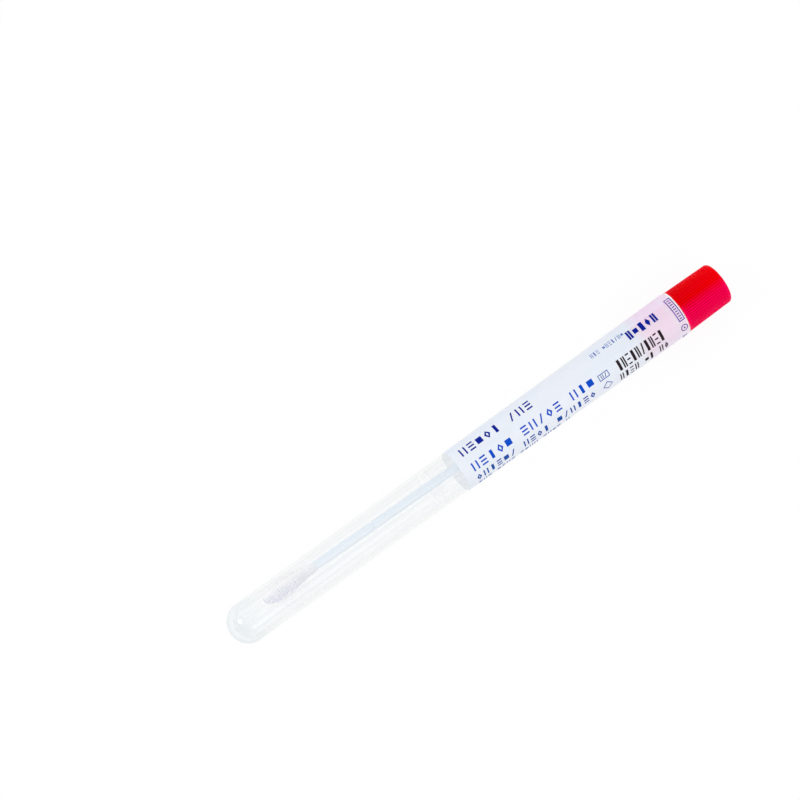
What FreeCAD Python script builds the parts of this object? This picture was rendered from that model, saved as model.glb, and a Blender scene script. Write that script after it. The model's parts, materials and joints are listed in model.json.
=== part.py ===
import FreeCAD, Part
import math
import os

from FreeCAD import Vector

# Dry transport swab: a clear round-bottomed tube with a wrapped label, and a push-in
# cap that carries a swab stick. Sizes in millimetres.
#
# The pieces are drawn about the tube's own axis: x runs from the tip of the round
# bottom (x = 0) through the rim to the cap. At the end they are laid on the floor,
# z = 0, on the label's upper end and the round bottom.

# ---- Tube ----
tube_length = 150.0  # tip of the round bottom to the rim
tube_diameter = 12.76  # outside, at the rim, without the collar
upper_draft_deg = 0.3  # from the rim down to the ring the wall narrows, so that it leaves its mould
lower_draft_deg = 0.18  # and from the ring down to the round bottom
tube_wall = 0.8
bottom_thickness = 1.7
bottom_crown_ratio = 1.03  # crown radius over the wall's radius: the bottom is a little flat
bottom_knuckle_ratio = 0.84  # corner radius over the wall's radius
rim_edge = 0.2  # rounding of the rim's outer edge
collar_length = 3.0  # the wall is a little thicker at the rim
collar_height = 0.04
collar_ease = 0.3  # length of the slope at the collar's lower edge
mouth_lead_in = 0.3  # chamfer that guides the plug
ring_below_rim = 83.55  # fine raised ring where the mould's two halves meet
ring_width = 0.5
ring_height = 0.06

# ---- Label ----
label_above_ring = 8.4  # bare wall between the ring and the label
label_below_rim = 0.2
label_thickness = 0.1
label_seam_deg = 68.0  # outer edge of the wrap, from straight up towards +Y
label_overlap = 3.4  # how far the wrap runs over itself
label_pressed = 0.04  # the film is pressed flat this deep where the tube lies on it

# ---- Cap ----
cap_head_length = 14.7
cap_rim_inset = 0.08  # the cap's edge stands this far inside the tube's outer edge
cap_draft_deg = 1.0
cap_end_rounding = 0.9
cap_rim_rounding = 0.15
cap_end_wall = 1.6
rib_count = 54
rib_groove_width = 0.42
rib_groove_depth = 0.2
rib_start = 0.7  # plain band between the cap's lower edge and the ribs
rib_end_margin = 1.3  # smooth stretch between the ribs and the end face
plug_length = 13.0
plug_wall = 1.0
plug_clearance = 0.06  # radial, plug to bore
plug_lead_in = 0.5
bead_below_head = (2.9, 8.4)  # sealing beads round the plug
bead_height = 0.04
bead_width = 0.9
boss_wall = 1.1
boss_recess = 1.0  # the boss stops this far inside the plug's end
socket_depth = 16.0
socket_clearance = 0.02  # radial, stick to socket
socket_end_gap = 0.3

# ---- Swab stick and bud ----
stick_diameter = 2.5
stick_bend_radius = 40.0
stick_bend_lead = 8.5  # boss mouth to the corner of the bend
notch_from_bud_end = 35.6  # the stick snaps off at this groove
notch_width = 0.6
notch_depth = 0.3
bud_length = 16.4
bud_diameter = 5.55
bud_neck_cover = 0.15  # fibre over the stick where the bud ends in its neck
bud_widest_from_end = 4.6  # the nose in front of this is half an egg
bud_shoulder_pull = 5.9  # how far the full diameter reaches on before it falls to the neck
bud_neck_pull = 4.4  # how far the neck's diameter reaches back
bud_cover = 1.6  # fibre in front of the stick's end
bud_bottom_gap = 10.6  # bud to the inside of the round bottom
bud_wall_gap = 0.2  # bud to the bore, at the bud's widest place
bud_lean_deg = 1.0  # the fibre is wound a little askew, about the bud's neck

# ---- Worked out from the sizes above ----
upper_draft = math.tan(math.radians(upper_draft_deg))
lower_draft = math.tan(math.radians(lower_draft_deg))
cap_draft = math.tan(math.radians(cap_draft_deg))
ring_x = tube_length - ring_below_rim
collar_x = tube_length - collar_length
label_start_x = ring_x + label_above_ring
label_end_x = tube_length - label_below_rim
cap_end_x = tube_length + cap_head_length
cap_rim_radius = tube_diameter / 2 - cap_rim_inset
plug_end_x = tube_length - plug_length
boss_end_x = plug_end_x + boss_recess
socket_end_x = boss_end_x + socket_depth
stick_radius = stick_diameter / 2
stick_end_x = socket_end_x - socket_end_gap
bend_x = boss_end_x - stick_bend_lead
bud_end_x = bottom_thickness + bud_bottom_gap
bud_widest_x = bud_end_x + bud_widest_from_end


def tube_outside(x):
    """Outer radius of the tube's wall at x, without the collar."""
    above_ring = tube_length - max(x, ring_x)
    below_ring = max(ring_x - x, 0)
    return tube_diameter / 2 - above_ring * upper_draft - below_ring * lower_draft


def tube_bore(x):
    """Inner radius of the tube's wall at x."""
    return tube_outside(x) - tube_wall


def plug_outside(x):
    """Outer radius of the plug at x: the bore less the clearance."""
    return tube_bore(x) - plug_clearance


def cap_outside(x):
    """Outer radius of the cap's head at x."""
    return cap_rim_radius - (x - tube_length) * cap_draft


# The bud lies beside the wall of the bore, and the stick leaves its bend at the angle that this takes.
bud_offset = tube_bore(bud_widest_x) - bud_diameter / 2 - bud_wall_gap
bud_skew = (bud_length - bud_widest_from_end) * math.tan(math.radians(bud_lean_deg))
stick_lean = math.atan((bud_offset - bud_skew) / (bend_x - bud_widest_x))


def at(x, radius):
    """A point of a profile that will be turned about the x axis."""
    return Vector(x, radius, 0)


def turned(edges):
    """The solid that a closed profile makes when it is turned about the x axis."""
    face = Part.Face(Part.Wire(edges))
    return face.revolve(Vector(0, 0, 0), Vector(1, 0, 0), 360)


def lines(points):
    """Straight edges through the points, in order."""
    return [Part.LineSegment(a, b).toShape() for a, b in zip(points, points[1:])]


def bottom_arcs(tip_x, radius):
    """Crown and corner arcs of a round bottom, from its tip to its wall, and the wall's first point."""
    crown = bottom_crown_ratio * radius
    knuckle = bottom_knuckle_ratio * radius
    reach = radius - knuckle
    crown_centre = Vector(tip_x + crown, 0, 0)
    depth = math.sqrt((crown - knuckle) ** 2 - reach**2)
    knuckle_centre = Vector(crown_centre.x - depth, reach, 0)
    outward = (knuckle_centre - crown_centre).normalize()
    join = knuckle_centre + outward * knuckle
    wall_start = knuckle_centre + Vector(0, knuckle, 0)
    half_crown = math.atan2(outward.y, -outward.x) / 2
    crown_middle = crown_centre + Vector(-math.cos(half_crown), math.sin(half_crown), 0) * crown
    bisector = (outward + Vector(0, 1, 0)).normalize()
    knuckle_middle = knuckle_centre + bisector * knuckle
    arcs = [
        Part.Arc(Vector(tip_x, 0, 0), crown_middle, join).toShape(),
        Part.Arc(join, knuckle_middle, wall_start).toShape(),
    ]
    return arcs, wall_start


def make_tube():
    """The moulded tube: drafted wall, round bottom, raised ring, eased rim."""
    outer_arcs, outer_start = bottom_arcs(0, tube_outside(0))
    inner_arcs, inner_start = bottom_arcs(bottom_thickness, tube_bore(bottom_thickness))
    ring_near = ring_x - ring_width / 2
    ring_far = ring_x + ring_width / 2
    ease = ring_width / 4
    outside = [
        outer_start,
        at(ring_near, tube_outside(ring_near)),
        at(ring_near + ease, tube_outside(ring_near) + ring_height),
        at(ring_far - ease, tube_outside(ring_far) + ring_height),
        at(ring_far, tube_outside(ring_far)),
        at(collar_x, tube_outside(collar_x)),
        at(collar_x + collar_ease, tube_outside(collar_x + collar_ease) + collar_height),
        at(tube_length - rim_edge, tube_outside(tube_length - rim_edge) + collar_height),
        at(tube_length, tube_outside(tube_length) + collar_height - rim_edge),
        at(tube_length, tube_bore(tube_length) + mouth_lead_in),
        at(tube_length - mouth_lead_in, tube_bore(tube_length - mouth_lead_in)),
        at(ring_x, tube_bore(ring_x)),
        inner_start,
    ]
    on_axis = lines([at(bottom_thickness, 0), at(0, 0)])
    return turned(outer_arcs + lines(outside) + inner_arcs[::-1] + on_axis)


def label_outline(height):
    """The line at this height over the tube's wall, from the label's lower edge to its upper one."""
    raised = height + collar_height
    return [
        at(label_start_x, tube_outside(label_start_x) + height),
        at(collar_x, tube_outside(collar_x) + height),
        at(collar_x + collar_ease, tube_outside(collar_x + collar_ease) + raised),
        at(label_end_x, tube_outside(label_end_x) + raised),
    ]


def make_label():
    """The wrap: one turn round the tube, and a second layer where it runs over itself."""

    def layer(inside):
        corners = label_outline(inside) + label_outline(inside + label_thickness)[::-1]
        return Part.Face(Part.Wire(lines(corners + corners[:1])))

    axis = (Vector(0, 0, 0), Vector(1, 0, 0))
    wrap = layer(0).revolve(*axis, 360)
    # The profile starts at +Y, and straight up is +Z.
    overlap_deg = math.degrees(label_overlap / tube_outside(label_end_x))
    flap = layer(label_thickness).revolve(*axis, overlap_deg)
    flap.rotate(*axis, 90 - label_seam_deg)
    return wrap.fuse(flap)


def make_cap():
    """The cap: ribbed head with a closed end, hollow plug with two beads, boss with a socket."""
    plug_bore = plug_outside(plug_end_x) - plug_wall
    boss_radius = stick_radius + socket_clearance + boss_wall
    end_start_x = cap_end_x - cap_end_rounding
    end_flat_radius = cap_outside(end_start_x) - cap_end_rounding
    slope = math.sqrt(0.5) * cap_end_rounding
    end_corner = Part.Arc(
        at(end_start_x, cap_outside(end_start_x)),
        at(end_start_x + slope, end_flat_radius + slope),
        at(cap_end_x, end_flat_radius),
    ).toShape()
    hollow_end_x = cap_end_x - cap_end_wall
    outside = [at(plug_end_x, plug_bore), at(plug_end_x, plug_outside(plug_end_x) - plug_lead_in / 2)]
    outside.append(at(plug_end_x + plug_lead_in, plug_outside(plug_end_x + plug_lead_in)))
    for below in sorted(bead_below_head, reverse=True):
        bead_x = tube_length - below
        outside.append(at(bead_x - bead_width / 2, plug_outside(bead_x - bead_width / 2)))
        outside.append(at(bead_x, plug_outside(bead_x) + bead_height))
        outside.append(at(bead_x + bead_width / 2, plug_outside(bead_x + bead_width / 2)))
    outside += [
        at(tube_length, plug_outside(tube_length)),
        at(tube_length, cap_rim_radius - cap_rim_rounding),
        at(tube_length + cap_rim_rounding, cap_outside(tube_length + cap_rim_rounding)),
        at(end_start_x, cap_outside(end_start_x)),
    ]
    inside = [
        at(cap_end_x, end_flat_radius),
        at(cap_end_x, 0),
        at(socket_end_x, 0),
        at(socket_end_x, stick_radius + socket_clearance),
        at(boss_end_x, stick_radius + socket_clearance),
        at(boss_end_x, boss_radius),
        at(hollow_end_x, boss_radius),
        at(hollow_end_x, plug_bore),
        at(plug_end_x, plug_bore),
    ]
    cap = turned(lines(outside) + [end_corner] + lines(inside))
    return cap.cut(rib_grooves())


def rib_grooves():
    """The V grooves that leave the ribs standing, all round the head."""
    start = tube_length + rib_start
    end = cap_end_x - rib_end_margin
    half = rib_groove_width / 2
    proud = rib_groove_depth  # the cutter stands this far out, and its V widens at the same slope

    def section(x):
        floor = Vector(x, 0, cap_outside(x) - rib_groove_depth)
        top_z = cap_outside(x) + proud
        spread = half * (rib_groove_depth + proud) / rib_groove_depth
        corners = [floor, Vector(x, spread, top_z), Vector(x, -spread, top_z), floor]
        return Part.Wire(lines(corners))

    groove = Part.makeLoft([section(start), section(end)], True)
    grooves = []
    for k in range(rib_count):
        one = groove.copy()
        one.rotate(Vector(0, 0, 0), Vector(1, 0, 0), 360 * k / rib_count)
        grooves.append(one)
    return Part.makeCompound(grooves)


def leaning(shape):
    """Turns a piece drawn on the x axis about the bend's corner, so that its low end leans to +Y."""
    shape.rotate(Vector(bend_x, 0, 0), Vector(0, 0, 1), -math.degrees(stick_lean))
    return shape


def bud_start():
    """Where the bud's end lies along the leaning stick, before the lean turns it."""
    return bend_x - (bend_x - bud_end_x) / math.cos(stick_lean)


def make_stick():
    """The stick: straight in its socket, one gentle bend, straight to the bud, with a groove to snap it."""
    tangent = stick_bend_radius * math.tan(stick_lean / 2)
    low_x = bud_start() + bud_cover
    away = Vector(-math.cos(stick_lean), math.sin(stick_lean), 0)
    corner = Vector(bend_x, 0, 0)
    low_end = corner + away * (bend_x - low_x)
    bend_low = corner + away * tangent
    bend_high = Vector(bend_x + tangent, 0, 0)
    centre = bend_high + Vector(0, stick_bend_radius, 0)
    towards = (corner - centre).normalize()
    path = Part.Wire(
        [
            Part.LineSegment(Vector(stick_end_x, 0, 0), bend_high).toShape(),
            Part.Arc(bend_high, centre + towards * stick_bend_radius, bend_low).toShape(),
            Part.LineSegment(bend_low, low_end).toShape(),
        ]
    )
    circle = Part.Circle(Vector(stick_end_x, 0, 0), Vector(1, 0, 0), stick_radius).toShape()
    stick = path.makePipeShell([Part.Wire(circle)], True, True)
    return stick.cut(leaning(notch_cutter()))


def notch_cutter():
    """A ring with a V section that cuts the snapping groove."""
    middle = bud_start() + notch_from_bud_end
    half = notch_width / 2
    floor = stick_radius - notch_depth
    spread = 2 * half
    corners = [
        at(middle, floor),
        at(middle - spread, floor + 2 * notch_depth),
        at(middle + spread, floor + 2 * notch_depth),
        at(middle, floor),
    ]
    return turned(lines(corners))


def make_bud():
    """The wound bud: full near its nose, narrowing to a neck on the stick, hollow where the stick is."""
    start = bud_start()
    full = bud_diameter / 2
    neck_radius = stick_radius + bud_neck_cover
    widest = start + bud_widest_from_end
    neck_end = start + bud_length
    egg = Part.Ellipse(at(widest, 0), bud_widest_from_end, full)
    nose = Part.ArcOfEllipse(egg, math.pi / 2, math.pi)
    side = Part.BezierCurve()
    side.setPoles(
        [
            at(widest, full),
            at(widest + bud_shoulder_pull, full),
            at(neck_end - bud_neck_pull, neck_radius),
            at(neck_end, neck_radius),
        ]
    )
    neck = lines([at(neck_end, neck_radius), at(neck_end, 0), at(start, 0)])
    bud = turned([nose.toShape(), side.toShape()] + neck)
    bud.rotate(at(neck_end, 0), Vector(0, 0, 1), -bud_lean_deg)
    core = Part.makeCylinder(stick_radius, bud_length, Vector(start + bud_cover, 0, 0), Vector(1, 0, 0))
    return leaning(bud.cut(core))


def lying(shapes):
    """Tips the pieces so that the label's upper end and the round bottom touch the floor, and sets the origin."""
    touching = label_outline(label_thickness)[-1] - Vector(0, label_pressed, 0)
    knuckle = bottom_knuckle_ratio * tube_outside(0)
    _, wall_start = bottom_arcs(0, tube_outside(0))
    reach = touching - (wall_start - Vector(0, knuckle, 0))
    tip_deg = math.degrees(math.atan2(reach.y, reach.x) - math.asin(knuckle / reach.Length))
    for shape in shapes.values():
        shape.rotate(Vector(0, 0, 0), Vector(0, 1, 0), -tip_deg)
    floor_z = shapes["tube"].optimalBoundingBox(False).ZMin
    deep = 2 * tube_diameter
    floor = Part.makeBox(cap_end_x, deep, deep, Vector(0, -deep / 2, floor_z - deep))
    shapes["label"] = shapes["label"].cut(floor)
    box = Part.makeCompound(list(shapes.values())).optimalBoundingBox(False)
    shift = Vector(-(box.XMin + box.XMax) / 2, 0, -floor_z)
    for shape in shapes.values():
        shape.translate(shift)


pieces = {
    "tube": make_tube(),
    "label": make_label(),
    "cap": make_cap(),
    "swab_stick": make_stick(),
    "swab_bud": make_bud(),
}
lying(pieces)

os.makedirs("parts", exist_ok=True)
for name, shape in pieces.items():
    shape.exportStep("parts/" + name + ".step")
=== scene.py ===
import json
import math

import bpy
from mathutils import Matrix, Vector, noise


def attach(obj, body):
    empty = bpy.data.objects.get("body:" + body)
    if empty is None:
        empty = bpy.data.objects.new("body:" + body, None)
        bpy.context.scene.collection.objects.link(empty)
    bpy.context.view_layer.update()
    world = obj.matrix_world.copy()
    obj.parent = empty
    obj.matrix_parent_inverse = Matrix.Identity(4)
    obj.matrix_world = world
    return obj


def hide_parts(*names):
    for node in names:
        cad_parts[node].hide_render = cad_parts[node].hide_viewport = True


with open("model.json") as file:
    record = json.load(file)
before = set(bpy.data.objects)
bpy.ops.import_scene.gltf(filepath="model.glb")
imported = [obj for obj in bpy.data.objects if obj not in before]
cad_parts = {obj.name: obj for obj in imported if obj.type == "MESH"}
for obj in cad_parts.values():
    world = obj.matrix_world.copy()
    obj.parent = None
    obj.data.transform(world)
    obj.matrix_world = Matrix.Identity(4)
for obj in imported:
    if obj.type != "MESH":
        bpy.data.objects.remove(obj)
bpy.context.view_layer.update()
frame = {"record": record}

# Looks of a capped swab tube. Each piece is drawn in millimetres about the tube's own
# axis: x runs from the tip of the round bottom to the cap, and an angle is measured from
# straight up towards +Y. LAY then puts it where the frame's cap end face says.

MM = 0.001

# ---- Sizes of the tube, label, cap and swab, in millimetres ----
TUBE_LENGTH = 150.0
TUBE_RADIUS = 6.38
UPPER_DRAFT = math.tan(math.radians(0.3))
LOWER_DRAFT = math.tan(math.radians(0.18))
TUBE_WALL = 0.8
BOTTOM_THICKNESS = 1.7
# The round bottom's radii at its tip and at its shoulder, as shares of the wall's radius.
CROWN_RATIO = 1.03
KNUCKLE_RATIO = 0.84
RIM_EDGE = 0.2
RIM_BEVEL = 0.3
COLLAR_X = TUBE_LENGTH - 3.0
COLLAR_HEIGHT = 0.04
COLLAR_EASE = 0.3
RING_X = TUBE_LENGTH - 83.55
RING_HEIGHT = 0.06
RING_HALF = 0.25

LABEL_START = RING_X + 8.4
LABEL_END = TUBE_LENGTH - 0.03
FILM = 0.09
FILM_GAP = 0.01
CREASE_HEIGHT = 0.025
FLOOR_CLEAR = 0.003
# The film starts level, an overlap before its seam. Past its first corner it lies askew, set down
# the tube by the two skews at its lower and upper edges. It comes level again by the end of its
# turn, where it climbs over its own start.
SEAM_DEG = 68.0
OVERLAP_DEG = math.degrees(3.4 / TUBE_RADIUS)
WRAP_START_DEG = SEAM_DEG - OVERLAP_DEG
WRAP_CLIMB_DEG = 16.0
WRAP_CORNER_FROM = 20.5
WRAP_CORNER_DEG = 6.0
WRAP_SKEW_LOW = 0.3
WRAP_SKEW_HIGH = 1.1

CAP_HEAD = 14.7
CAP_END = TUBE_LENGTH + CAP_HEAD
CAP_END_WALL = 1.6
CAP_DISH = 0.1
CAP_RADIUS = TUBE_RADIUS - 0.08
CAP_DRAFT = math.tan(math.radians(1.0))
CAP_ROUNDING = 0.9
CAP_FOOT = 0.15
RIB_COUNT = 54
RIB_PITCH = 2 * math.pi / RIB_COUNT
RIB_DEPTH = 0.2
RIB_START = TUBE_LENGTH + 0.7
RIB_END = CAP_END - 1.3
RIB_EASE = 0.25
GROOVE_SHARE = 0.57
PLUG_END = TUBE_LENGTH - 13.0
PLUG_GAP = 0.06
PLUG_WALL = 1.0
PLUG_LEAD_LENGTH = 0.5
PLUG_LEAD_DEPTH = 0.25
BEAD_DEPTHS = (2.9, 8.4)
BEAD_HEIGHT = 0.04
BEAD_HALF = 0.5
BOSS_END = PLUG_END + 1.0
BOSS_WALL = 1.1
SOCKET_GAP = 0.02
SOCKET_ROOM = 0.3

STICK_RADIUS = 1.25
STICK_TOP = BOSS_END + 15.7
STICK_EDGE = 0.2
BEND_X = BOSS_END - 8.5
BEND_REACH = 6.0
BUD_TIP = 12.3
BUD_LENGTH = 16.4
BUD_RADIUS = 2.775
BUD_NECK = 1.4
BUD_WIDEST = 4.6
# The handles of the shoulder's curve, at the widest place and at the neck.
BUD_WIDE_HANDLE = 5.9
BUD_NECK_HANDLE = 4.4
BUD_WALL_GAP = 0.2
BUD_LEAN = math.radians(1.0)
WIND_PITCH = 0.7
CROSS_PITCH = 0.83
STICK_FOOT = BUD_TIP + 1.6
NOTCH_X = BUD_TIP + 35.6
NOTCH_DEPTH = 0.3
NOTCH_HALF = 0.3

# ---- How finely the turned surfaces are divided ----
TUBE_SIDES = 192
BOTTOM_STEPS = 14
RIB_STEPS = (0, 0.12, 0.24, 0.36, 0.5, 0.64, 0.76, 0.88)
STICK_SIDES = 48
BUD_SIDES = 160


def tube_outside(x):
    """Outer radius of the bare wall at x."""
    above_ring = TUBE_LENGTH - max(x, RING_X)
    below_ring = max(RING_X - x, 0)
    return TUBE_RADIUS - above_ring * UPPER_DRAFT - below_ring * LOWER_DRAFT


def tube_bore(x):
    """Inner radius of the wall at x."""
    return tube_outside(x) - TUBE_WALL


BUD_OFFSET = tube_bore(BUD_TIP + BUD_WIDEST) - BUD_RADIUS - BUD_WALL_GAP
BUD_SKEW = (BUD_LENGTH - BUD_WIDEST) * math.tan(BUD_LEAN)
STICK_LEAN = math.atan((BUD_OFFSET - BUD_SKEW) / (BEND_X - BUD_TIP - BUD_WIDEST))

# ---- Where the tube lies ----
END_FACE = next(m for m in frame["record"]["mounts"] if m["name"] == "cap_end_face")
ALONG = Vector(END_FACE["axis"]).normalized()
SIDE = Vector((0, 1, 0))
UP = ALONG.cross(SIDE)
LAY = Matrix((ALONG, SIDE, UP)).transposed().to_4x4()
LAY.translation = Vector(END_FACE["pos_m"]) - ALONG * CAP_END * MM


# ---- Meshes ----
def placed(name, verts, faces, body, material, sharp_deg=35):
    """A mesh piece from points in millimetres about the tube's axis, laid in place, on its body."""
    mesh = bpy.data.meshes.new(name)
    mesh.from_pydata([tuple(c * MM for c in v) for v in verts], [], faces)
    mesh.validate()
    mesh.polygons.foreach_set("use_smooth", [True] * len(mesh.polygons))
    mesh.set_sharp_from_angle(angle=math.radians(sharp_deg))
    mesh.materials.append(material)
    piece = bpy.data.objects.new(name, mesh)
    bpy.context.scene.collection.objects.link(piece)
    piece.matrix_world = LAY
    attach(piece, body)
    return piece


def turned(profile, angles, radius_at=None):
    """Points and faces of a closed surface turned about the axis. The profile's points are (x, radius);
    it starts and ends on the axis, and its faces look out when the solid is on its right hand."""
    verts, rows = [], []
    for x, radius in profile:
        if radius == 0:
            rows.append([len(verts)] * len(angles))
            verts.append((x, 0.0, 0.0))
            continue
        rows.append(list(range(len(verts), len(verts) + len(angles))))
        for a in angles:
            r = radius_at(x, radius, a) if radius_at else radius
            verts.append((x, r * math.sin(a), r * math.cos(a)))
    faces = []
    loop = len(angles)
    for low, high in zip(rows, rows[1:]):
        for j in range(loop):
            k = (j + 1) % loop
            quad = [low[j], high[j], high[k], low[k]]
            face = [v for i, v in enumerate(quad) if v != quad[i - 1]]
            if len(face) > 2:
                faces.append(face)
    return verts, faces


def even(count):
    """Angles all round, evenly spaced."""
    return [2 * math.pi * j / count for j in range(count)]


def arc(cx, cy, radius, start, end, count):
    """Points on an arc from one angle to another, in degrees."""
    steps = [math.radians(start + (end - start) * i / count) for i in range(count + 1)]
    return [(cx + radius * math.cos(t), cy + radius * math.sin(t)) for t in steps]


def round_bottom(tip, radius, count):
    """Profile of a round bottom from its tip to the start of its wall."""
    crown = CROWN_RATIO * radius
    knuckle = KNUCKLE_RATIO * radius
    reach = radius - knuckle
    depth = math.sqrt((crown - knuckle) ** 2 - reach**2)
    join = 180 - math.degrees(math.atan2(reach, depth))
    crown_part = arc(tip + crown, 0, crown, 180, join, count)
    crown_part[0] = (tip, 0.0)
    return crown_part + arc(tip + crown - depth, reach, knuckle, join, 90, count)[1:]


def spread(start, end, count):
    """Evenly spaced places from start to end, both kept."""
    return [start + (end - start) * i / count for i in range(count + 1)]


def held(value):
    """A share held between 0 and 1."""
    return min(max(value, 0), 1)


# ---- Materials ----
def new_material(name, **sockets):
    """A material with one Principled shader, its sockets set, and its node tree."""
    material = bpy.data.materials.new(name)
    material.use_nodes = True
    tree = material.node_tree
    shader = tree.nodes["Principled BSDF"]
    for socket, value in sockets.items():
        shader.inputs[socket.replace("_", " ")].default_value = value
    return material, tree, shader


def node(tree, kind, inputs=(), **settings):
    """A node with its settings and inputs. An input is a number, a colour or another node's socket."""
    made = tree.nodes.new(kind)
    for key, value in settings.items():
        setattr(made, key, value)
    for key, value in dict(inputs).items():
        if isinstance(value, bpy.types.NodeSocket):
            tree.links.new(value, made.inputs[key])
        else:
            made.inputs[key].default_value = value
    return made


def math_of(tree, operation, a, b=0.0, clamp=False):
    """The result of a Math node."""
    made = node(tree, "ShaderNodeMath", {0: a, 1: b}, operation=operation, use_clamp=clamp)
    return made.outputs[0]


def times(tree, a, b):
    """Two values multiplied."""
    return math_of(tree, "MULTIPLY", a, b)


def less(tree, a, b):
    """One value less another."""
    return math_of(tree, "SUBTRACT", a, b)


def stretched_noise(tree, scale, stretch, detail, roughness=0.5):
    """Noise in the piece's own coordinates, drawn out along the tube's axis."""
    place = node(tree, "ShaderNodeTexCoord").outputs["Object"]
    mapped = node(tree, "ShaderNodeMapping", {"Vector": place, "Scale": (1 / stretch, 1, 1)})
    inputs = {"Vector": mapped.outputs[0], "Scale": scale, "Detail": detail, "Roughness": roughness}
    return node(tree, "ShaderNodeTexNoise", inputs).outputs["Fac"]


def own_place(tree):
    """The piece's own X, Y and Z, in metres about the tube's axis."""
    place = node(tree, "ShaderNodeTexCoord").outputs["Object"]
    return node(tree, "ShaderNodeSeparateXYZ", {0: place}).outputs


def facing_in(tree):
    """1 on a face that looks in, at the tube's axis or at the centre of its round bottom, else 0."""
    at = own_place(tree)
    past_centre = math_of(tree, "MINIMUM", less(tree, at["X"], TUBE_RADIUS * MM), 0.0)
    outwards = node(tree, "ShaderNodeCombineXYZ", {0: past_centre, 1: at["Y"], 2: at["Z"]}).outputs[0]
    normal = node(tree, "ShaderNodeTexCoord").outputs["Normal"]
    dot = node(tree, "ShaderNodeVectorMath", {0: outwards, 1: normal}, operation="DOT_PRODUCT")
    # The dot is the face's distance from there, below zero where it looks in, and near 0 on the rim.
    return math_of(tree, "LESS_THAN", dot.outputs["Value"], -2 * MM)


def ranged(tree, value, low, high, to_low, to_high):
    """A value moved from one range to another, held inside the new one."""
    inputs = {"Value": value, "From Min": low, "From Max": high, "To Min": to_low, "To Max": to_high}
    return node(tree, "ShaderNodeMapRange", inputs).outputs[0]


def near(tree, value, middle, reach):
    """1 where a value is at the middle, falling to 0 at its reach."""
    off = math_of(tree, "ABSOLUTE", less(tree, value, middle))
    return ranged(tree, off, 0, reach, 1, 0)


def grazing_share(tree):
    """0 where a face is seen straight on, rising to 1 where it is seen edge on."""
    return node(tree, "ShaderNodeLayerWeight", {"Blend": 0.5}).outputs["Facing"]


def mixed(tree, share, a, b):
    """Two colours mixed."""
    made = node(tree, "ShaderNodeMix", data_type="RGBA")
    for socket, value in ((made.inputs[0], share), (made.inputs[6], a), (made.inputs[7], b)):
        if isinstance(value, bpy.types.NodeSocket):
            tree.links.new(value, socket)
        else:
            socket.default_value = value
    return made.outputs[2]


def bump(tree, shader, height, distance, strength=1.0):
    """Bump on the shader's normal."""
    inputs = {"Height": height, "Distance": distance, "Strength": strength}
    tree.links.new(node(tree, "ShaderNodeBump", inputs).outputs[0], shader.inputs["Normal"])


def one_sided(tree, alpha, lit_through):
    """Alpha that counts once for a closed wall: only where a ray enters its solid. A milky wall scatters
    light into what it wraps, so a share of the light that would stop at it goes through."""
    behind = node(tree, "ShaderNodeNewGeometry").outputs["Backfacing"]
    alpha = times(tree, alpha, less(tree, 1.0, behind))
    path = node(tree, "ShaderNodeLightPath")
    light = math_of(tree, "MAXIMUM", path.outputs["Is Shadow Ray"], path.outputs["Is Diffuse Ray"])
    return times(tree, alpha, ranged(tree, light, 0, 1, 1, 1 - lit_through))


def set_colour(tree, shader, colour):
    """Sets the shader's colour."""
    tree.links.new(colour, shader.inputs["Base Color"])


def tube_plastic():
    """Clear, slightly milky moulded plastic with faint lengthwise flow streaks."""
    # Alpha dims the wall's gloss with the rest of it, and a strong coat makes up for that.
    gloss = {"Specular_IOR_Level": 1.0, "Coat_Weight": 1.0, "Coat_IOR": 2.0, "Coat_Roughness": 0.12}
    material, tree, shader = new_material("tube_plastic", Roughness=0.14, IOR=1.49, **gloss)
    streaks = stretched_noise(tree, 450, 90, 3)
    along = own_place(tree)["X"]
    bottom = ranged(tree, along, 1 * MM, 13 * MM, 1, 0)

    # The wall is milkier where it is seen edge on and in its thick bottom. On its ring it is made
    # clearer, so that the ring shows lighter: a painted highlight.
    outer = less(tree, 1.0, facing_in(tree))
    grazing = times(tree, ranged(tree, grazing_share(tree), 0.35, 0.7, 0, 1), outer)
    thicker = times(tree, grazing, ranged(tree, bottom, 0, 1, 0.28, 0.6))
    ring = times(tree, near(tree, along, RING_X * MM, 0.3 * MM), -0.12)
    alpha = ranged(tree, streaks, 0.36, 0.64, 0.21, 0.25)
    for change in (thicker, times(tree, bottom, 0.13), ring):
        alpha = math_of(tree, "ADD", alpha, change)
    tree.links.new(one_sided(tree, alpha, 0.5), shader.inputs["Alpha"])

    bluish, greenish, deep = (0.76, 0.82, 0.86, 1), (0.8, 0.85, 0.83, 1), (0.62, 0.72, 0.78, 1)
    broad = stretched_noise(tree, 200, 30, 2)
    tint = mixed(tree, ranged(tree, broad, 0.4, 0.6, 0, 1), bluish, greenish)
    set_colour(tree, shader, mixed(tree, times(tree, bottom, 0.7), tint, deep))
    bump(tree, shader, streaks, 0.01 * MM, 0.3)
    return material


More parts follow.
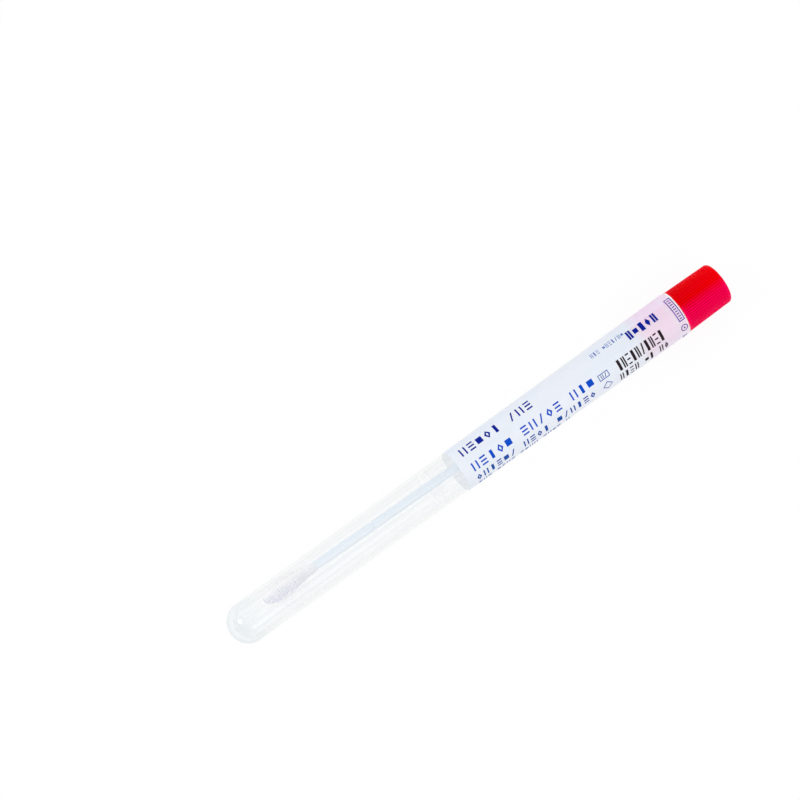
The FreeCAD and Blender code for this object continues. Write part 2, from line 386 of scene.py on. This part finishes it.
def label_film():
    """Thin pale label film, satin, that lets a little of what is behind it through."""
    material, tree, shader = new_material("label_film", Roughness=0.42, IOR=1.45)
    at = own_place(tree)
    blue, pale = (0.82, 0.88, 0.98, 1), (0.86, 0.89, 0.965, 1)
    cloud = stretched_noise(tree, 60, 2, 3)
    tint = mixed(tree, ranged(tree, cloud, 0.35, 0.65, 0, 1), blue, pale)

    # The red of the cap's plug behind the film is painted on it as a pink blush in patches, painted
    # light that is strongest towards +Y and faint in a ring by the collar.
    plug_glow_pink = (0.93, 0.74, 0.95, 1)
    over_plug = ranged(tree, at["X"], (PLUG_END - 2) * MM, (PLUG_END + 2) * MM, 0, 1)
    plug_glow = times(tree, over_plug, ranged(tree, at["Y"], -4 * MM, 6 * MM, 0.42, 1))
    patches = ranged(tree, stretched_noise(tree, 420, 1, 2), 0.35, 0.65, 0.8, 1)
    ring = near(tree, at["X"], (COLLAR_X - 0.4) * MM, 0.6 * MM)
    patches = math_of(tree, "SUBTRACT", patches, times(tree, ring, 0.45), clamp=True)
    blushed = mixed(tree, times(tree, plug_glow, patches), tint, plug_glow_pink)

    # The cut edge at the rim is whiter. The film's back is thinner than its face, and paler: painted
    # light that stands in for the light shining through the film onto its back.
    edge_white, back_painted_lit = (0.99, 0.99, 0.995, 1), (0.935, 0.95, 1.0, 1)
    cut_edge = ranged(tree, at["X"], (TUBE_LENGTH - 0.8) * MM, (TUBE_LENGTH - 0.5) * MM, 0, 1)
    face = mixed(tree, cut_edge, blushed, edge_white)
    inside = facing_in(tree)
    set_colour(tree, shader, mixed(tree, inside, face, back_painted_lit))
    thinner = ranged(tree, inside, 0, 1, 1, 0.8)
    alpha = times(tree, ranged(tree, cloud, 0.3, 0.7, 0.82, 0.86), thinner)
    tree.links.new(one_sided(tree, alpha, 0.85), shader.inputs["Alpha"])
    bump(tree, shader, stretched_noise(tree, 700, 1.5, 4), 0.03 * MM, 0.4)
    return material


def cap_plastic():
    """Red moulded plastic with a satin gloss."""
    gloss = {"Specular_IOR_Level": 0.06, "Specular_Tint": (1, 0, 0.8, 1)}
    material, tree, shader = new_material("cap_plastic", Roughness=0.45, IOR=1.5, **gloss)
    at = own_place(tree)
    deep, plain, bright = (0.84, 0.0, 0.0, 1), (0.88, 0.0, 0.0, 1), (0.985, 0.0, 0.0, 1)
    cloud = stretched_noise(tree, 250, 3, 3)
    red = mixed(tree, ranged(tree, cloud, 0.35, 0.65, 0, 1), deep, plain)
    towards_end = ranged(tree, at["X"], (TUBE_LENGTH + 2) * MM, (CAP_END - 2) * MM, 0, 0.9)
    red = mixed(tree, towards_end, red, bright)

    # Painted shade darkens the grooves between the ribs: the mask is 1 in the middle of a groove, over
    # the ribs' length.
    fade = 0.3
    turn = math_of(tree, "ARCTAN2", at["Y"], at["Z"])
    in_pitch = math_of(tree, "FRACT", times(tree, turn, 1 / RIB_PITCH))
    past_start = ranged(tree, at["X"], RIB_START * MM, (RIB_START + fade) * MM, 0, 1)
    before_end = ranged(tree, at["X"], RIB_END * MM, (RIB_END + fade) * MM, 1, 0)
    groove = times(tree, near(tree, in_pitch, 0.5, 0.3), times(tree, past_start, before_end))

    # A painted reflection: the side away from +Y is tinted rosy, up to the end face, and what is seen
    # edge on gets the same tint as a painted sheen.
    painted_sheen_red, groove_shade_red = (0.99, 0.0, 0.1, 1), (0.54, 0.0, 0.0, 1)
    off_end_face = ranged(tree, at["X"], (CAP_END - 0.5) * MM, (CAP_END - 0.1) * MM, 1, 0)
    lower = times(tree, ranged(tree, at["Y"], 1 * MM, -1.7 * MM, 0, 1), off_end_face)
    painted_sheen = math_of(tree, "MAXIMUM", lower, ranged(tree, grazing_share(tree), 0.55, 0.9, 0, 0.8))
    painted_sheen = times(tree, painted_sheen, less(tree, 1.0, times(tree, groove, 0.8)))
    face = mixed(tree, painted_sheen, red, painted_sheen_red)
    # The grooves take their painted shade here.
    set_colour(tree, shader, mixed(tree, times(tree, groove, 0.6), face, groove_shade_red))
    tree.links.new(ranged(tree, cloud, 0.3, 0.7, 0.4, 0.5), shader.inputs["Roughness"])
    bump(tree, shader, stretched_noise(tree, 700, 8, 2), 0.004 * MM, 0.2)
    return material


def stick_plastic():
    """Pale blue-white moulded rod, with painted shade that makes it a little deeper in tone towards the
    label and under it.
    """
    material, tree, shader = new_material("stick_plastic", Roughness=0.17, IOR=1.5)
    blue, white, deep = (0.8, 0.885, 0.975, 1), (0.86, 0.91, 0.98, 1), (0.76, 0.82, 0.92, 1)
    streaks = stretched_noise(tree, 1500, 80, 3)
    tint = mixed(tree, ranged(tree, streaks, 0.35, 0.65, 0, 1), blue, white)
    # Painted shade: a little deeper towards the label, and as deep all along under it.
    painted_label_shade = ranged(tree, own_place(tree)["X"], (LABEL_START - 18) * MM, LABEL_START * MM, 0, 0.3)
    set_colour(tree, shader, mixed(tree, painted_label_shade, tint, deep))
    bump(tree, shader, streaks, 0.02 * MM)
    return material


def bud_fibre():
    """White wound fibre, with lavender painted shade on the side away from +Y."""
    soft = {"Sheen_Weight": 0.4, "Sheen_Roughness": 0.6}
    material, tree, shader = new_material("bud_fibre", Roughness=0.9, IOR=1.4, **soft)
    at = own_place(tree)
    cream, white = (0.95, 0.93, 0.96, 1), (0.99, 0.97, 0.985, 1)
    lilac, bright, dark = (0.74, 0.76, 0.88, 1), (0.98, 0.97, 1.0, 1), (0.46, 0.49, 0.66, 1)
    fibres = stretched_noise(tree, 2500, 0.25, 4, 0.7)
    lit = mixed(tree, ranged(tree, fibres, 0.35, 0.65, 0, 1), cream, white)
    lavender = mixed(tree, ranged(tree, fibres, 0.38, 0.62, 0, 1), lilac, bright)

    # On the shaded side painted shade shows in the hollows between the turns as broken dark lines.
    turns = times(tree, at["X"], 1 / (WIND_PITCH * MM))
    in_turn = math_of(tree, "FRACT", math_of(tree, "ADD", turns, fibres))
    dashes = ranged(tree, stretched_noise(tree, 1100, 0.6, 1), 0.42, 0.56, 0.1, 0.7)
    painted_hollow_shade = times(tree, near(tree, in_turn, 0.5, 0.4), dashes)
    lavender = mixed(tree, painted_hollow_shade, lavender, dark)

    # Painted shade on the side away from +Y, strongest at the nose and fading towards the neck.
    away = ranged(tree, at["Y"], 3 * MM, 1.2 * MM, 0, 1)
    to_neck = ranged(tree, at["X"], BUD_TIP * MM, (BUD_TIP + BUD_LENGTH) * MM, 1, 0.55)
    set_colour(tree, shader, mixed(tree, times(tree, away, to_neck), lit, lavender))
    bump(tree, shader, fibres, 0.05 * MM)
    return material


def ink(name, colour):
    """Flat printing ink, a little uneven."""
    material, tree, shader = new_material(name, Roughness=0.5, IOR=1.45, Specular_IOR_Level=0.08)
    grain = stretched_noise(tree, 2500, 1, 2)
    lighter = tuple(c * 1.4 + 0.004 for c in colour[:3]) + (1,)
    set_colour(tree, shader, mixed(tree, ranged(tree, grain, 0.4, 0.75, 0, 0.5), colour, lighter))
    return material


# ---- The tube ----
def make_tube(material):
    """Drafted wall with a round bottom, a fine ring, a collar and an eased rim."""
    outside = round_bottom(0, tube_outside(0), BOTTOM_STEPS)
    outside += [(x, tube_outside(x)) for x in spread(outside[-1][0], RING_X - RING_HALF, 12)[1:]]
    ring_top = tube_outside(RING_X) + RING_HEIGHT
    outside += [(RING_X + d, ring_top) for d in (-RING_HALF / 2, 0, RING_HALF / 2)]
    outside += [(x, tube_outside(x)) for x in spread(RING_X + RING_HALF, COLLAR_X, 16)]
    outside += [(COLLAR_X + COLLAR_EASE, tube_outside(COLLAR_X) + COLLAR_HEIGHT)]
    top = tube_outside(TUBE_LENGTH) + COLLAR_HEIGHT
    outside += arc(TUBE_LENGTH - RIM_EDGE, top - RIM_EDGE, RIM_EDGE, 90, 0, 5)
    inside = round_bottom(BOTTOM_THICKNESS, tube_bore(BOTTOM_THICKNESS), BOTTOM_STEPS)
    inside += [(x, tube_bore(x)) for x in spread(inside[-1][0], TUBE_LENGTH - RIM_BEVEL, 28)[1:]]
    inside += [(TUBE_LENGTH, tube_bore(TUBE_LENGTH) + RIM_BEVEL)]
    verts, faces = turned(outside + inside[::-1], even(TUBE_SIDES))
    piece = placed("tube_shell", verts, faces, "tube_body", material)
    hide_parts("tube")


# ---- The label ----
def label_radius(x, lift):
    """Radius of a line on the label at x, lifted above the tube's wall."""
    rise = held((x - COLLAR_X) / COLLAR_EASE) * COLLAR_HEIGHT
    return tube_outside(x) + FILM_GAP + rise + lift


def wrap_lift(turn_deg):
    """How far the film's underside is lifted: it climbs over its own start near the end of its turn."""
    climb = held((turn_deg - 360 + WRAP_CLIMB_DEG) / WRAP_CLIMB_DEG)
    return climb * climb * (3 - 2 * climb) * (FILM + FILM_GAP)


def film_skew(turn_deg, share):
    """How far a point of the film is shifted along the tube, at its share of the way up the film: past
    its first corner the film is set down the tube, and it comes level by the end of its turn."""
    corner = held((turn_deg - WRAP_CORNER_FROM) / WRAP_CORNER_DEG)
    most = WRAP_SKEW_LOW + (WRAP_SKEW_HIGH - WRAP_SKEW_LOW) * share
    return -most * (1 - turn_deg / (360 + OVERLAP_DEG)) * math.sqrt(1 - (1 - corner) ** 2)


def film_radius(x, a, turn_deg, height):
    """Radius of a point at this height over the film's underside, with the film's faint creases near
    the rim."""
    share = max((x - LABEL_START) / (LABEL_END - LABEL_START), 0)
    rumple = noise.noise((x * 0.5, math.sin(a) * 1.5, math.cos(a) * 1.5))
    crease = CREASE_HEIGHT * max(0, rumple) * share**3
    return label_radius(x, wrap_lift(turn_deg) + height + crease)


def on_floor(x, r, a):
    """A point of the label about the axis, pressed no lower than the floor."""
    height = (LAY @ (Vector((x, r * math.sin(a), r * math.cos(a))) * MM)).z / MM
    lowest = r * math.cos(a) + max(FLOOR_CLEAR - height, 0)
    return (x, r * math.sin(a), lowest)


def make_label(material):
    """The film as one strip: it starts under itself, goes once round, and ends at its outer edge."""
    # The steps are closer round the film's first corner, and along its two cut edges.
    turns = spread(0, 20, 24) + spread(20, 28, 24)[1:] + spread(28, 360 + OVERLAP_DEG, 280)[1:]
    shares = [0, 0.002, 0.006] + spread(0.02, 0.98, 44) + [0.994, 0.998, 1]
    verts = []
    for face_lift in (0, FILM):
        for turn in turns:
            a = math.radians(WRAP_START_DEG + turn)
            for share in shares:
                x = LABEL_START + (LABEL_END - LABEL_START) * share + film_skew(turn, share)
                verts.append(on_floor(x, film_radius(x, a, turn, face_lift), a))
    count = len(shares)
    layer = len(turns) * count

    def corner(side, i, j):
        return side * layer + i * count + j

    faces = []
    for i in range(len(turns) - 1):
        for j in range(count - 1):
            quad = [(i, j), (i + 1, j), (i + 1, j + 1), (i, j + 1)]
            faces.append([corner(1, *q) for q in quad[::-1]])
            faces.append([corner(0, *q) for q in quad])
        for j in (0, count - 1):
            edge = [corner(0, i, j), corner(0, i + 1, j), corner(1, i + 1, j), corner(1, i, j)]
            faces.append(edge[::-1] if j == 0 else edge)
    for i in (0, len(turns) - 1):
        for j in range(count - 1):
            edge = [corner(0, i, j), corner(1, i, j), corner(1, i, j + 1), corner(0, i, j + 1)]
            faces.append(edge[::-1] if i == 0 else edge)
    piece = placed("label_wrap", verts, faces, "tube_body", material, 50)
    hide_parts("label")


# ---- The print: plain marks with no meaning, in rows like lines of small type ----
INK_LOW, INK_HIGH = 0.002, 0.016
INK_STEP = 0.5
MARK_SHARE = 0.68


def on_label(x, along, height):
    """A point over the label's face. Along is the arc in millimetres from straight up towards +Y."""
    a = along / label_radius(x, FILM)
    turn = (math.degrees(a) - WRAP_START_DEG) % 360
    if turn < OVERLAP_DEG:
        turn += 360
    r = film_radius(x, a, turn, FILM + height)
    return (x, r * math.sin(a), r * math.cos(a))


def ink_slab(verts, faces, loops):
    """A thin closed slab of ink between an outer loop of (x, along) points and an inner one."""
    base = len(verts)
    count = len(loops[0])
    for height in (INK_LOW, INK_HIGH):
        for loop in loops:
            verts += [on_label(x, along, height) for x, along in loop]

    def at(level, ring, i):
        return base + (2 * level + ring) * count + i % count

    for i in range(count):
        faces.append([at(1, 0, i), at(1, 0, i + 1), at(1, 1, i + 1), at(1, 1, i)])
        faces.append([at(0, 0, i), at(0, 1, i), at(0, 1, i + 1), at(0, 0, i + 1)])
        faces.append([at(0, 0, i), at(0, 0, i + 1), at(1, 0, i + 1), at(1, 0, i)])
        faces.append([at(0, 1, i), at(1, 1, i), at(1, 1, i + 1), at(0, 1, i + 1)])


def ink_bar(verts, faces, x0, x1, low, high, lean=0.0):
    """A thin closed bar of ink, divided along the arc so that it follows the label."""
    steps = max(1, math.ceil((high - low) / INK_STEP))
    base = len(verts)
    rows = []
    for i in range(steps + 1):
        along = low + (high - low) * i / steps
        shift = lean * (i / steps - 0.5)
        rows.append([(x0 + shift, along), (x1 + shift, along)])
    for height in (INK_LOW, INK_HIGH):
        verts += [on_label(x, along, height) for row in rows for x, along in row]
    top = base + 2 * len(rows)
    for i in range(steps):
        a, b, c, d = 2 * i, 2 * i + 1, 2 * i + 3, 2 * i + 2
        faces.append([top + a, top + b, top + c, top + d])
        faces.append([base + d, base + c, base + b, base + a])
        faces.append([base + a, top + a, top + d, base + d])
        faces.append([base + b, base + c, top + c, top + b])
    last = 2 * steps
    faces.append([base, base + 1, top + 1, top])
    faces.append([base + last + 1, base + last, top + last, top + last + 1])


def outline(corners):
    """Points along a closed outline, no further apart than a step."""
    points = []
    for (x0, a0), (x1, a1) in zip(corners, corners[1:] + corners[:1]):
        count = max(1, math.ceil(math.hypot(x1 - x0, a1 - a0) / INK_STEP))
        points += [(x0 + (x1 - x0) * i / count, a0 + (a1 - a0) * i / count) for i in range(count)]
    return points


def rectangle(x0, x1, low, high):
    """The corners of a box on the label."""
    return [(x0, low), (x1, low), (x1, high), (x0, high)]


def ink_frame(verts, faces, corners, stroke):
    """An outlined shape: its outer edge, and the same drawn in towards its middle."""
    outer = outline(corners)
    mid_x = sum(x for x, _ in corners) / len(corners)
    mid_a = sum(a for _, a in corners) / len(corners)
    half_x = max(abs(x - mid_x) for x, _ in corners)
    half_a = max(abs(a - mid_a) for _, a in corners)
    keep_x, keep_a = 1 - stroke / half_x, 1 - stroke / half_a
    inner = [(mid_x + (x - mid_x) * keep_x, mid_a + (a - mid_a) * keep_a) for x, a in outer]
    ink_slab(verts, faces, (outer, inner))


def ink_mark(verts, faces, kind, x0, x1, low, high, stroke):
    """One small mark of a row: d is two bars across it, t three bars along it, l a leaning bar,
    s a square, w a thick bar, h a box and r a diamond."""
    mid_x, mid_a = (x0 + x1) / 2, (low + high) / 2
    half = (x1 - x0) / 2
    if kind == "d":
        ink_bar(verts, faces, x0, x0 + stroke, low, high)
        ink_bar(verts, faces, x1 - stroke, x1, low, high)
    elif kind == "t":
        for share in (0, 0.5, 1):
            start = low + (high - low - stroke) * share
            ink_bar(verts, faces, x0, x1, start, start + stroke)
    elif kind == "l":
        lean = (x1 - x0) * 0.6
        ink_bar(verts, faces, mid_x - stroke / 2, mid_x + stroke / 2, low, high, lean)
    elif kind == "s":
        ink_bar(verts, faces, x0, x1, mid_a - half, mid_a + half)
    elif kind == "w":
        ink_bar(verts, faces, mid_x - stroke, mid_x + stroke, low, high)
    elif kind == "h":
        ink_frame(verts, faces, rectangle(x0, x1, low, high), stroke)
    elif kind == "r":
        diamond = [(x0, mid_a), (mid_x, low), (x1, mid_a), (mid_x, high)]
        ink_frame(verts, faces, diamond, stroke * 1.4)


def ink_row(verts, faces, x0, x1, low, high, stroke, kinds):
    """A row of marks, one for each letter of kinds; a space leaves a gap."""
    pitch = (x1 - x0) / (len(kinds) - 1 + MARK_SHARE)
    for i, kind in enumerate(kinds):
        start = x0 + pitch * i
        ink_mark(verts, faces, kind, start, start + pitch * MARK_SHARE, low, high, stroke)


# Each ink's colour and rows. A row says where it starts and ends along the tube, where it lies on
# the label's arc, how thick a stroke is, and its marks.
PRINT = {
    "navy": (
        (0.0, 0.012, 0.28, 1),
        [
            (77.5, 101.0, 2.13, 4.65, 0.45, "dtsrw ldt"),
            (133.4, 143.1, 1.27, 3.92, 0.62, "dswrd"),
        ],
    ),
    "blue": (
        (0.0, 0.07, 0.55, 1),
        [(77.9, 118.4, -3.07, -0.55, 0.45, "dtwrs tdlrt dws")],
    ),
    "dusk": (
        (0.01, 0.07, 0.36, 1),
        [
            (77.7, 117.5, -6.5, -4.37, 0.4, "rdwtsl dtrw sldwtr"),
            (78.0, 108.4, -9.1, -7.5, 0.26, "tdt stdt tsdd tdst d"),
            (120.1, 123.4, -3.3, -1.42, 0.2, "h"),
            (120.9, 122.7, -3.0, -1.75, 0.2, "dl"),
            (120.2, 123.4, -7.2, -4.3, 0.22, "r"),
        ],
    ),
    "pale": (
        (0.1, 0.19, 0.5, 1),
        [(122.0, 133.0, 3.36, 4.8, 0.2, "dwt sdtwlds")],
    ),
    "black": (
        (0.018, 0.008, 0.012, 1),
        [
            (126.5, 141.8, -4.3, -1.0, 0.42, "wdtwdlwdtw"),
            (126.0, 142.2, -7.9, -5.2, 0.36, "dwtd sw dr"),
        ],
    ),
    "plum": (
        (0.10, 0.07, 0.36, 1),
        [(147.2, 148.6, -9.2, -8.1, 0.22, "dt")],
    ),
}


def rim_marks(verts, faces):
    """By the rim: a box with a row of bars in it, and a ring with a dot in it."""
    ink_frame(verts, faces, rectangle(147.5, 149.4, -2.7, 4.95), 0.27)
    bar_count, first_bar, bar_pitch, bar_width = 9, -2.1, 0.75, 0.3
    for step in range(bar_count):
        start = first_bar + bar_pitch * step
        ink_bar(verts, faces, 148.05, 148.85, start, start + bar_width)
    ring_x, ring_arc, radius, dot_half = 148.2, -5.0, 1.1, 0.25
    ring = [(ring_x + radius * math.cos(t), ring_arc + radius * math.sin(t)) for t in even(28)]
    ink_frame(verts, faces, ring, 0.26)
    dot = (ring_x - dot_half, ring_x + dot_half, ring_arc - dot_half, ring_arc + dot_half)
    ink_bar(verts, faces, *dot)


def make_print():
    """One piece for each ink."""
    for name, (colour, rows) in PRINT.items():
        verts, faces = [], []
        for row in rows:
            ink_row(verts, faces, *row)
        if name == "plum":
            rim_marks(verts, faces)
        material = ink(f"ink_{name}", colour)
        placed(f"label_print_{name}", verts, faces, "tube_body", material)


# ---- The cap ----
def plug_radius(x):
    """Outer radius of the plug at x, with its sealing beads."""
    from_bead = min(abs(TUBE_LENGTH - x - depth) for depth in BEAD_DEPTHS)
    return tube_bore(x) - PLUG_GAP + BEAD_HEIGHT * max(0, 1 - from_bead / BEAD_HALF)


def make_cap(material):
    """Ribbed head with a rounded end, hollow plug and the boss that holds the stick."""
    plug_bore = tube_bore(PLUG_END) - PLUG_GAP - PLUG_WALL
    socket = STICK_RADIUS + SOCKET_GAP
    boss = socket + BOSS_WALL
    corner_x = CAP_END - CAP_ROUNDING
    corner_r = CAP_RADIUS - (corner_x - TUBE_LENGTH) * CAP_DRAFT - CAP_ROUNDING
    dish_r = corner_r - 0.9
    # From the middle of the end face out, down the ribbed head and the plug, and back up the inside.
    profile = [(CAP_END - CAP_DISH, 0), (CAP_END - CAP_DISH, dish_r), (CAP_END, dish_r + 0.2)]
    profile += [(CAP_END, corner_r - 0.2)]
    profile += arc(corner_x, corner_r, CAP_ROUNDING, 0, 90, 8)[:-1]
    head = [corner_x] + spread(RIB_END, RIB_START, 14) + [TUBE_LENGTH + CAP_FOOT]
    head += [RIB_START - RIB_EASE, RIB_END + RIB_EASE]
    profile += [(x, CAP_RADIUS - (x - TUBE_LENGTH) * CAP_DRAFT) for x in sorted(head, reverse=True)]
    profile += [(TUBE_LENGTH, CAP_RADIUS - CAP_FOOT)]
    profile += [(x, plug_radius(x)) for x in spread(TUBE_LENGTH, PLUG_END + PLUG_LEAD_LENGTH, 24)]
    profile += [(PLUG_END, tube_bore(PLUG_END) - PLUG_GAP - PLUG_LEAD_DEPTH), (PLUG_END, plug_bore)]
    profile += [(CAP_END - CAP_END_WALL, plug_bore), (CAP_END - CAP_END_WALL, boss), (BOSS_END, boss)]
    profile += [(BOSS_END, socket), (STICK_TOP + SOCKET_ROOM, socket), (STICK_TOP + SOCKET_ROOM, 0)]
    angles = [RIB_PITCH * (rib + step) for rib in range(RIB_COUNT) for step in RIB_STEPS]

    def ribbed(x, radius, a):
        # Only the outside of the head has ribs, not the plug or the boss.
        if radius < plug_bore or x < TUBE_LENGTH + 0.2:
            return radius
        past_start = held((x - RIB_START + RIB_EASE) / RIB_EASE)
        before_end = held((RIB_END + RIB_EASE - x) / RIB_EASE)
        across = abs((a / RIB_PITCH) % 1 - 0.5) * 2
        return radius - RIB_DEPTH * past_start * before_end * max(0, 1 - across / GROOVE_SHARE)

    verts, faces = turned(profile, angles, ribbed)
    # This profile has the solid on its left hand, so its faces are turned over.
    faces = [f[::-1] for f in faces]
    piece = placed("cap_moulding", verts, faces, "swab", material, 25)
    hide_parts("cap")


# ---- The swab ----
def swab_drift(x):
    """How far the swab's own line stands off the axis at x: it bends towards +Y below the boss."""
    run = held((BEND_X + BEND_REACH / 2 - x) / BEND_REACH)
    slope = math.tan(STICK_LEAN)
    if run < 1:
        return slope * BEND_REACH * run * run / 2
    return slope * (BEND_X - x)


def make_stick(material):
    """The rod, with its snapping groove."""
    edge = STICK_RADIUS - STICK_EDGE
    profile = [(STICK_FOOT, 0), (STICK_FOOT, edge), (STICK_FOOT + STICK_EDGE, STICK_RADIUS)]
    profile += [(x, STICK_RADIUS) for x in spread(STICK_FOOT + 1, NOTCH_X - NOTCH_HALF, 12)]
    profile += [(NOTCH_X, STICK_RADIUS - NOTCH_DEPTH), (NOTCH_X + NOTCH_HALF, STICK_RADIUS)]
    profile += [(x, STICK_RADIUS) for x in spread(NOTCH_X + 1, STICK_TOP - STICK_EDGE, 60)]
    profile += [(STICK_TOP, edge), (STICK_TOP, 0)]
    verts, faces = turned(profile, even(STICK_SIDES))
    verts = [(x, y + swab_drift(x), z) for x, y, z in verts]
    piece = placed("swab_stick_rod", verts, faces, "swab", material)
    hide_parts("swab_stick")


def cubic_weights(t):
    """The four weights of a cubic curve at t."""
    u = 1 - t
    return (u**3, 3 * u * u * t, 3 * u * t * t, t**3)


def bud_radius(s):
    """Radius of the bud at s from its nose: half an egg, then a long shoulder down to the neck."""
    if s < BUD_WIDEST:
        return BUD_RADIUS * math.sqrt(max(0, 1 - (1 - s / BUD_WIDEST) ** 2))
    # The shoulder is a cubic curve. Halving its range finds the place on it that lies at s.
    poles = (BUD_WIDEST, BUD_WIDEST + BUD_WIDE_HANDLE, BUD_LENGTH - BUD_NECK_HANDLE, BUD_LENGTH)
    low, high = 0.0, 1.0
    for _ in range(30):
        t = (low + high) / 2
        along = sum(p * c for p, c in zip(poles, cubic_weights(t)))
        low, high = (t, high) if along < s else (low, t)
    weights = cubic_weights(t)
    return BUD_RADIUS * (weights[0] + weights[1]) + BUD_NECK * (weights[2] + weights[3])


def make_bud(material):
    """Fibre wound round the end of the stick, in fine turns that cross a little."""
    neck = BUD_TIP + BUD_LENGTH
    nose_steps = 40
    places = [BUD_WIDEST * (1 - math.cos(math.pi / 2 * i / nose_steps)) for i in range(nose_steps + 1)]
    places += spread(BUD_WIDEST, BUD_LENGTH, 150)[1:]
    profile = [(BUD_TIP + s, bud_radius(s)) for s in places]
    profile[0] = (BUD_TIP, 0)
    # The neck closes on the stick, a little way up it.
    profile += [(neck + 0.15, STICK_RADIUS + 0.01), (neck, 0)]

    def wound(x, radius, a):
        s = x - BUD_TIP
        turn = math.sin(2 * math.pi * (s / WIND_PITCH + a / (2 * math.pi)))
        cross = math.sin(2 * math.pi * (s / CROSS_PITCH - 2 * a / (2 * math.pi)) + 1)
        lump = noise.noise((s * 0.7, math.sin(a) * 1.3, math.cos(a) * 1.3))
        fine = noise.noise((s * 4, math.sin(a) * 8, math.cos(a) * 8))
        relief = 0.035 * turn + 0.04 * cross + 0.05 * lump + 0.04 * fine - 0.09
        return radius + min(1, radius / 1.5) * relief

    verts, faces = turned(profile, even(BUD_SIDES), wound)
    lean = math.tan(BUD_LEAN)
    verts = [(x, y + (neck - x) * lean + swab_drift(x), z) for x, y, z in verts]
    piece = placed("swab_bud_fibre", verts, faces, "swab", material, 80)
    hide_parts("swab_bud")


# ---- Stage, light and camera ----
def shown_directly(tree):
    """1 for rays from the eye, a mirror or glass, else 0."""
    path = node(tree, "ShaderNodeLightPath")
    either = math_of(tree, "MAXIMUM", path.outputs["Is Camera Ray"], path.outputs["Is Glossy Ray"])
    return math_of(tree, "MAXIMUM", either, path.outputs["Is Transmission Ray"])


def make_stage():
    """A white floor that keeps a faint shadow, and a white surround."""
    half, below = 4.0, 0.00002
    corners = [(-half, -half, 0), (half, -half, 0), (half, half, 0), (-half, half, 0)]
    mesh = bpy.data.meshes.new("floor")
    mesh.from_pydata(corners, [], [(0, 1, 2, 3)])
    floor = bpy.data.objects.new("floor", mesh)
    bpy.context.scene.collection.objects.link(floor)
    floor.location.z = -below
    material = bpy.data.materials.new("floor_white")
    material.use_nodes = True
    tree = material.node_tree
    tree.nodes.clear()
    paper = node(tree, "ShaderNodeBsdfDiffuse", {"Color": (0.9, 0.9, 0.9, 1)}).outputs[0]
    glow = node(tree, "ShaderNodeEmission", {"Color": (1, 1, 1, 1), "Strength": 1.01}).outputs[0]
    share = times(tree, shown_directly(tree), 0.93)
    mix = node(tree, "ShaderNodeMixShader", {0: share, 1: paper, 2: glow})
    out = node(tree, "ShaderNodeOutputMaterial")
    tree.links.new(mix.outputs[0], out.inputs["Surface"])
    mesh.materials.append(material)

    world = bpy.data.worlds.new("surround")
    bpy.context.scene.world = world
    world.use_nodes = True
    tree = world.node_tree
    background = tree.nodes["Background"]
    strength = ranged(tree, shown_directly(tree), 0, 1, 0.735, 1.0)
    tree.links.new(strength, background.inputs["Strength"])
    background.inputs["Color"].default_value = (1, 1, 1, 1)


# Each light's place, the point it is turned to, its width and height, in metres, and its power.
LIGHTS = {
    "key": ((0.2, -0.62, 0.8), (0, 0, 0), (0.6, 0.4), 1.0),
    "low_side": ((0.05, -0.9, 0.25), (0, 0, 0), (1.2, 0.3), 0.72),
    "far_side": ((0.0, 0.8, 0.5), (0, 0, 0), (0.8, 0.3), 0.35),
    "end_light": ((-0.72, 0.4, 0.62), (-0.08, 0, 0), (0.36, 0.36), 2.4),
    "strip": ((0.25, -0.12, 1.0), (0.25, 0, 0), (0.4, 0.02), 0.27),
}


def softbox(name, place, aim, size, power):
    """A rectangular soft light at a place, turned to a point."""
    lamp = bpy.data.lights.new(name, "AREA")
    lamp.shape = "RECTANGLE"
    lamp.size, lamp.size_y = size
    lamp.energy = power
    light = bpy.data.objects.new(name, lamp)
    bpy.context.scene.collection.objects.link(light)
    light.location = place
    light.rotation_mode = "QUATERNION"
    light.rotation_quaternion = (Vector(aim) - Vector(place)).to_track_quat("-Z", "Y")


# The camera's place and aim in millimetres about the tube's axis, and its lens and sensor.
CAMERA_PLACE = Vector((-157.27, 0, 1082.7))
CAMERA_AIM = Vector((73.875, 24.29, 0))
CAMERA_ROLL = math.radians(35.82)
CAMERA_LENS = 186.6
CAMERA_SENSOR = 36


def make_camera():
    """A long lens high above the tube, turned so that the tube runs up to the right."""
    data = bpy.data.cameras.new("camera")
    data.lens = CAMERA_LENS
    data.sensor_width = CAMERA_SENSOR
    camera = bpy.data.objects.new("camera", data)
    bpy.context.scene.collection.objects.link(camera)
    forward = (CAMERA_AIM - CAMERA_PLACE).normalized()
    right = forward.cross(Vector((0, 1, 0))).normalized()
    above = right.cross(forward)
    level = Matrix((right, above, -forward)).transposed().to_4x4()
    turned_view = level @ Matrix.Rotation(-CAMERA_ROLL, 4, "Z")
    turned_view.translation = CAMERA_PLACE * MM
    camera.matrix_world = LAY @ turned_view
    bpy.context.scene.camera = camera


make_tube(tube_plastic())
make_label(label_film())
make_print()
make_cap(cap_plastic())
make_stick(stick_plastic())
make_bud(bud_fibre())
make_stage()
for name, settings in LIGHTS.items():
    softbox(name, *settings)
make_camera()

# A look through the tube and its label passes many clear faces.
bpy.context.scene.cycles.transparent_max_bounces = 24

view_settings = bpy.context.scene.view_settings
view_settings.view_transform = "Standard"
